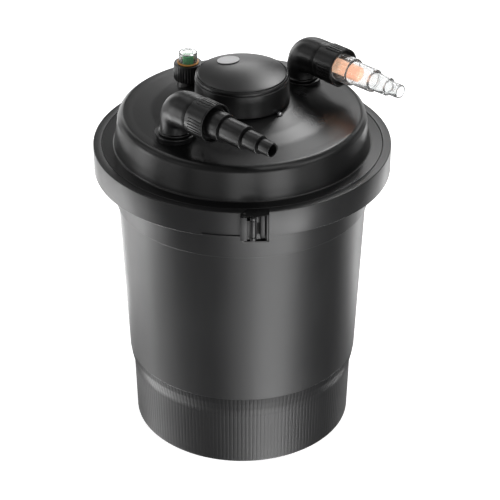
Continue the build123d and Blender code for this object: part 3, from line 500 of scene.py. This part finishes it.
# ---------------------------------------------------------------- ports
def port(prefix, x, y, face):
    """Elbow, union nut, stepped tail and the tail's seal; black on the inlet, clear on the outlet."""
    if prefix == "inlet":
        tail_mat, tail_slot, seal_mat, seal_slot = PIPE, "black_plastic", RUBBER, "black_rubber"
    else:
        tail_mat, tail_slot, seal_mat, seal_slot = CLEAR, "clear_plastic", ORANGE, "orange_silicone"
    root = Vector((x, y, 0))
    up = Vector((0, 0, 1))
    along = Vector((math.cos(math.radians(-45)), math.sin(math.radians(-45)), 0))
    across = along.cross(up)
    standing = upright_at(x, y)
    lying = (root + up * TAIL_Z, up, across, along)

    # elbow: collar, upright pipe, bend and arm in one sweep, then the thread
    pipe_r, arm_r, arm_end, bend, bend_steps, foot_z = 19.9, 25.2, 42.65, 25.0, 32, 486.0
    foot = [(11.0, 440.0), (15.0, 440.0, 0.6), (15.0, 476.4), (17.6, 476.4), (17.6, 481.5),
            (22.6, 481.5, 0.5), (22.6, 483.8, 0.9), (20.1, 484.8, 0.6), (19.9, 490.0), (11.0, 490.0)]
    parts = [lathe("foot", rounded(foot), 96, standing)]
    stations = [(root + up * foot_z, up, pipe_r)]
    for k in range(bend_steps + 1):
        a = math.radians(90.0 * k / bend_steps)
        grow = 0.5 - 0.5 * math.cos(math.pi * min(1.0, k / 27))
        centre = root + along * (bend * (1 - math.cos(a))) + up * (TAIL_Z - bend + bend * math.sin(a))
        stations.append((centre, along * math.sin(a) + up * math.cos(a), pipe_r + (arm_r - pipe_r) * grow))
    for s, r in ((30.0, arm_r), (36.0, arm_r), (arm_end - 0.15, arm_r), (arm_end, arm_r - 0.1),
                 (arm_end, 22.3), (30.0, 17.0)):
        stations.append((root + along * s + up * TAIL_Z, along, r))
    stations.append((root + up * foot_z, up, 12.0))
    parts.append(tube("bend", stations, 96, sharp=60))
    thread = [(16.5, 42.0), (22.2, 42.0)]
    for k in range(4):
        z = 45.0 + 4.0 * k
        thread += [(20.9, z), (22.0, z + 1.2), (22.0, z + 2.0), (20.9, z + 3.2)]
    thread += [(20.9, face - 13.0), (16.5, face - 13.0, 0.3)]
    parts.append(lathe("thread", rounded(thread), 72, lying))
    finish_piece(join(prefix + "_bend_pipe", parts), PIPE, prefix + "_elbow", "black_plastic",
                 prefix + "_elbow")

    # union nut, hardly wider than the arm, with four groups of low grips towards its mouth
    nut = [(22.4, 43.0, 0.3), (arm_r, 43.0, 0.12), (25.5, 48.0, 1.0), (26.3, face - 2.0, 0.6),
           (26.0, face, 0.8), (23.9, face, 0.7), (23.0, face - 6.0), (17.4, face - 6.0), (17.4, face - 9.0),
           (22.4, face - 9.0)]
    parts = [lathe("nut_shell", rounded(nut), 96, lying)]
    for quarter in range(4):
        for step in range(-2, 3):
            turn = math.radians(90.0 * quarter + 9.0 * step)
            radial = up * math.cos(turn) + across * math.sin(turn)
            grip_base = (root + up * TAIL_Z + radial * 25.7, radial.cross(along), radial, along)
            parts.append(prism("grip", [(-1.7, -0.6), (1.7, -0.6), (1.4, 1.3), (-1.4, 1.3)], face - 25.0,
                               face - 1.2, grip_base, bevel=0.4, bevel_steps=2))
    finish_piece(join(prefix + "_grip_nut", parts), PIPE, prefix + "_nut", "black_plastic",
                 prefix + "_union_nut")

    # stepped tail; each step ends this far from the nut's face
    ends = (18.5, 55.0, 80.2, 100.3)
    outline = [(14.6, face - 10.9), (21.6, face - 10.9, 0.3), (21.6, face - 9.4, 0.3), (17.0, face - 9.4),
               (17.0, face - 4.0), (19.0, face - 4.0, 0.6)]
    for i, (r, far) in enumerate(zip((19.0, 16.0, 12.5, 9.5), ends)):
        if i:
            # a groove at the root of each step, then a rounded edge
            neck = r - (0.9 if i == 1 else 1.5)
            outline += [(neck, face + ends[i - 1]), (neck, face + ends[i - 1] + 3.2, 0.4),
                        (r, face + ends[i - 1] + 3.4, 0.8)]
        outline += [(r - 0.25, face + far - 0.5, 0.4), (r - 0.85, face + far, 0.3)]
    outline += [(7.5, face + ends[-1], 0.6), (7.5, face + 79.0), (9.8, face + 72.0), (9.8, face + 58.0),
                (13.0, face + 48.0), (13.0, face + 33.0), (14.6, face + 27.0)]
    tail = lathe(prefix + "_stepped_tail", rounded(outline, 4), 96, lying)
    finish_piece(tail, tail_mat, prefix + "_tail", tail_slot, prefix + "_hose_tail")

    # its seal: a sleeve inside the tail's mouth, and a washer that is black on both ports
    seal = [(8.2, face - 12.9, 0.4), (21.4, face - 12.9, 0.5), (21.4, face - 11.0, 0.5),
            (9.8, face - 11.0, 0.4), (9.8, face + 8.0), (9.4, face + 31.0, 0.3), (8.2, face + 31.0, 0.3)]
    sleeve = lathe(prefix + "_sleeve_seal", rounded(seal), 96, lying)
    finish_piece(sleeve, seal_mat, prefix + "_tail", seal_slot, prefix + "_tail_seal")
    sleeve.data.materials.append(RUBBER)
    for polygon in sleeve.data.polygons:
        if (polygon.center / MM - root).dot(along) < face - 9.0:
            polygon.material_index = 1


for spec in PORTS:
    port(*spec)

# ---------------------------------------------------------------- soiling indicator
GRIP_HEIGHT = 0.55
GRIP_COLUMNS = 6


def rib_radius(r, z, column):
    """Grips round the nut, each as wide as the gap beside it."""
    on_grip = r > 18.5 and z < 509.2 and column % GRIP_COLUMNS < GRIP_COLUMNS // 2
    return r + GRIP_HEIGHT if on_grip else r


nut = [(15.1, 487.4), (19.0, 487.4, 0.4), (19.0, 488.6), (19.0, 508.6), (19.0, 509.4), (18.6, 510.5, 0.5),
       (13.0, 510.5, 0.6), (13.0, 508.9), (15.1, 508.9)]
finish_piece(lathe("indicator_grip_nut", rounded(nut), 192, INDICATOR, radius_of=rib_radius), BLACK,
             "indicator_nut", "black_plastic", "indicator_nut")
cup = [(10.8, 506.2), (14.6, 506.2, 0.3), (14.6, 508.6, 0.3), (12.6, 508.6, 0.6), (12.6, 526.0, 1.6),
       (7.1, 526.0, 0.3), (6.9, 525.1, 0.3), (0.0, 525.1), (0.0, 523.6), (10.8, 523.6, 1.4)]
finish_piece(lathe("indicator_clear_cup", rounded(cup), 96, INDICATOR), CLEAR, "indicator_cup",
             "clear_plastic", "indicator_cup")
wiper = [(12.65, 510.6, 0.4), (14.8, 510.6, 0.5), (14.8, 512.2, 0.8), (12.65, 512.2, 0.3)]
finish_piece(lathe("indicator_amber_wiper", rounded(wiper), 96, INDICATOR), AMBER, "indicator_cup",
             "orange_silicone", "indicator_wiper_ring")
drop = [(0.0, 491.0), (2.0, 491.0, 0.3), (2.0, 500.0), (7.6, 500.0, 0.4), (7.6, 521.0, 1.2), (0.0, 521.0)]
finish_piece(lathe("indicator_green_float", rounded(drop), 64, INDICATOR), GREEN, "indicator_float",
             "green_plastic", "indicator_float")

# ---------------------------------------------------------------- lamp head
lower = [(22.6, 472.0), (26.5, 472.0), (26.5, 487.6), (62.4, 487.6, 1.0), (63.2, 489.0, 1.0),
         (62.7, 518.8, 0.8), (61.6, 520.0, 0.5), (52.0, 520.0), (52.0, 517.0), (59.6, 517.0), (60.2, 491.2),
         (22.6, 491.2)]
finish_piece(lathe("head_body", rounded(lower), 192), HEAD, "uv_head", "black_plastic", "uv_head_housing")
CROWN_R = 240.0
CROWN_EDGE = 58.9
HEAD_TOP = 533.0


def crown_height(distance):
    """Height of the domed crown at a distance from the axis."""
    return HEAD_TOP - CROWN_R + math.sqrt(CROWN_R ** 2 - distance ** 2)


upper = [(0.0, 530.0), (48.0, 525.1), (48.0, 514.0), (51.6, 514.0), (51.6, 520.3), (61.6, 520.3, 0.4),
         (62.2, 521.0, 0.5), (61.9, 523.4, 2.0), (60.4, 525.2, 1.0), (59.8, 524.6, 0.3), (59.8, 523.4),
         (CROWN_EDGE, 523.4), (CROWN_EDGE, crown_height(CROWN_EDGE), 1.4)]
upper += [(r, crown_height(r)) for r in (54.0, 46.0, 34.0, 22.0, 11.0, 0.0)]
finish_piece(lathe("head_cap", rounded(upper, 6), 192, sharp=50), HEAD, "uv_head", "black_plastic",
             "uv_head_cover")
# plain disc that lies on the crown
bx, by = -18.4, 25.7
normal = Vector((bx, by, math.sqrt(CROWN_R ** 2 - bx * bx - by * by))).normalized()
x_dir = Vector((1, 0, 0)) - normal * normal.x
x_dir.normalize()
BADGE = (Vector((bx, by, crown_height(math.hypot(bx, by)) + 0.12)), x_dir, normal.cross(x_dir), normal)
badge = [(0.0, 0.0), (14.8, 0.0), (14.8, 0.9, 0.35), (13.6, 0.9, 0.2), (13.3, 0.7, 0.2), (0.0, 0.7)]
finish_piece(lathe("badge_disc", rounded(badge), 96, BADGE), SILVER, "uv_head", "silver_badge",
             "uv_head_badge")
head = [(0.0, 489.3), (0.8, 489.3), (1.0, 490.2, 0.1), (2.3, 490.2, 0.5), (3.1, 489.3, 0.5), (3.1, 487.9),
        (2.0, 487.9), (2.0, 478.0), (0.0, 478.0)]
finish_piece(lathe("lock_screw_turned", rounded(head), 48, LOCK), STEEL, "uv_lock_screw", "stainless",
             "uv_lock_screw")

# ---------------------------------------------------------------- foam pads, with a soft open-celled skin
PORE_M, VOXEL_M, RELIEF_M = 0.006, 0.004, 0.0015
pores = bpy.data.textures.new("foam_pores", 'CLOUDS')
pores.noise_scale = PORE_M
FOAMS = (("foam_1_coarse", FOAM_BLUE, "blue_foam"), ("foam_2_coarse", FOAM_BLUE, "blue_foam"),
         ("foam_3_medium", FOAM_YELLOW, "yellow_foam"), ("foam_4_medium", FOAM_YELLOW, "yellow_foam"),
         ("foam_5_fine", FOAM_RED, "red_foam"))
for node, mat, foam_slot in FOAMS:
    pad = bpy.data.objects.new(node + "_pad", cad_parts[node].data.copy())
    bpy.context.scene.collection.objects.link(pad)
    pad.matrix_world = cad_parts[node].matrix_world
    remesh = pad.modifiers.new("soft_skin", 'REMESH')
    remesh.mode = 'VOXEL'
    remesh.voxel_size = VOXEL_M
    remesh.use_smooth_shade = True
    displace = pad.modifiers.new("cells", 'DISPLACE')
    displace.texture = pores
    displace.texture_coords = 'LOCAL'
    displace.strength = RELIEF_M
    displace.mid_level = 0.9
    finish_piece(pad, mat, "vessel", foam_slot, node)

# ---------------------------------------------------------------- stage, in metres
FLOOR_HALF_M = 6
FLOOR_GLOW = 0.8
# from the first round of the fit that is told of at SOFTBOX_RINGS
WORLD_STRENGTH = 0.12
bm = bmesh.new()
for x, y in ((-1, -1), (1, -1), (1, 1), (-1, 1)):
    bm.verts.new((x * FLOOR_HALF_M, y * FLOOR_HALF_M, 0))
bm.faces.new(bm.verts)
floor = make_mesh("floor", bm)
floor_mat, _, _, shader = new_material("floor_paint")
shader.inputs["Base Color"].default_value = (0.93, 0.93, 0.93, 1)
shader.inputs["Roughness"].default_value = 0.9
shader.inputs["Emission Color"].default_value = (1, 1, 1, 1)
shader.inputs["Emission Strength"].default_value = FLOOR_GLOW
floor.data.materials.append(floor_mat)
# the two lowest rings of lamps shine through the floor from below, as through a light table
floor.visible_glossy = False
floor.visible_diffuse = False
floor.visible_shadow = False

world = bpy.data.worlds.new("studio")
bpy.context.scene.world = world
world.use_nodes = True
background = world.node_tree.nodes["Background"]
background.inputs["Color"].default_value = (1, 1, 1, 1)
background.inputs["Strength"].default_value = WORLD_STRENGTH


def softbox(name, where, target, width, height, watts):
    """Rectangular lamp that the camera does not see."""
    light = bpy.data.lights.new(name, 'AREA')
    light.shape = 'RECTANGLE'
    light.size = width
    light.size_y = height
    light.energy = watts
    lamp = bpy.data.objects.new(name, light)
    bpy.context.scene.collection.objects.link(lamp)
    lamp.location = where
    lamp.rotation_euler = (Vector(target) - Vector(where)).to_track_quat('-Z', 'Y').to_euler()
    lamp.visible_camera = False


# Rings of softboxes: elevation in degrees, then distance, aim height, width and height in metres, then the
# watts by azimuth (degrees from the front, positive to the right).
# The watts are not set by hand: a scratch program fitted them to the brightness of the photograph, by
# non-negative least squares over renders with one lamp each. The two lowest rings lie below the floor.
SOFTBOX_RINGS = (
    (-56, 2.2, 0.25, 0.80, 0.80, {-180: 1.8, -150: 3.1, -120: 12.0, -90: 5.2, -60: 0.9, 0: 2.7,
        30: 17.1, 60: 3.4, 150: 11.1}),
    (-26, 2.2, 0.30, 0.60, 0.80, {-160: 5.7, -140: 2.6, -120: 5.1, -100: 9.3, -80: 3.6, 0: 4.0, 20: 9.5,
        40: 11.9, 120: 1.9, 140: 4.0, 160: 1.4}),
    (0, 1.9, 0.48, 0.70, 0.90, {-180: 1.8, -150: 4.8, -120: 2.5, -90: 6.5, -60: 1.5, -30: 1.0, 0: 3.9,
        30: 6.2, 60: 1.4, 120: 0.9, 150: 2.3}),
    (24, 2.1, 0.45, 0.42, 0.42, {140: 1.1, 180: 2.1, 210: 1.5}),
    (34, 2.1, 0.45, 0.42, 0.42, {160: 1.5, 170: 1.4}),
    (36, 2.0, 0.40, 0.70, 0.70, {-100: 1.2, -60: 0.7, 60: 2.7, 80: 1.9, 120: 1.1}),
    (46, 2.1, 0.45, 0.42, 0.42, {160: 6.3, 210: 0.9}),
    (65, 2.4, 0.40, 1.20, 1.20, {-135: 3.2, 45: 6.7, 135: 1.5}),
)
lamp_count = 0
for elevation, distance, aim, width, height, watts_by_azimuth in SOFTBOX_RINGS:
    tilt = math.radians(elevation)
    for azimuth, watts in watts_by_azimuth.items():
        turn = math.radians(azimuth)
        where = (distance * math.cos(tilt) * math.sin(turn), -distance * math.cos(tilt) * math.cos(turn),
                 aim + distance * math.sin(tilt))
        softbox("softbox_%02d" % lamp_count, where, (0, 0, aim), width, height, watts)
        lamp_count += 1

CAMERA_PITCH = 31.0304
camera = bpy.data.cameras.new("camera")
camera.sensor_width = 36.0
camera.lens = 140.79
camera.shift_x = 0.0157
view = bpy.data.objects.new("camera", camera)
bpy.context.scene.collection.objects.link(view)
view.location = (0, -2.3287, 1.6533)
view.rotation_euler = (math.radians(90 - CAMERA_PITCH), 0, 0)
bpy.context.scene.camera = view
bpy.context.scene.view_settings.view_transform = 'Standard'
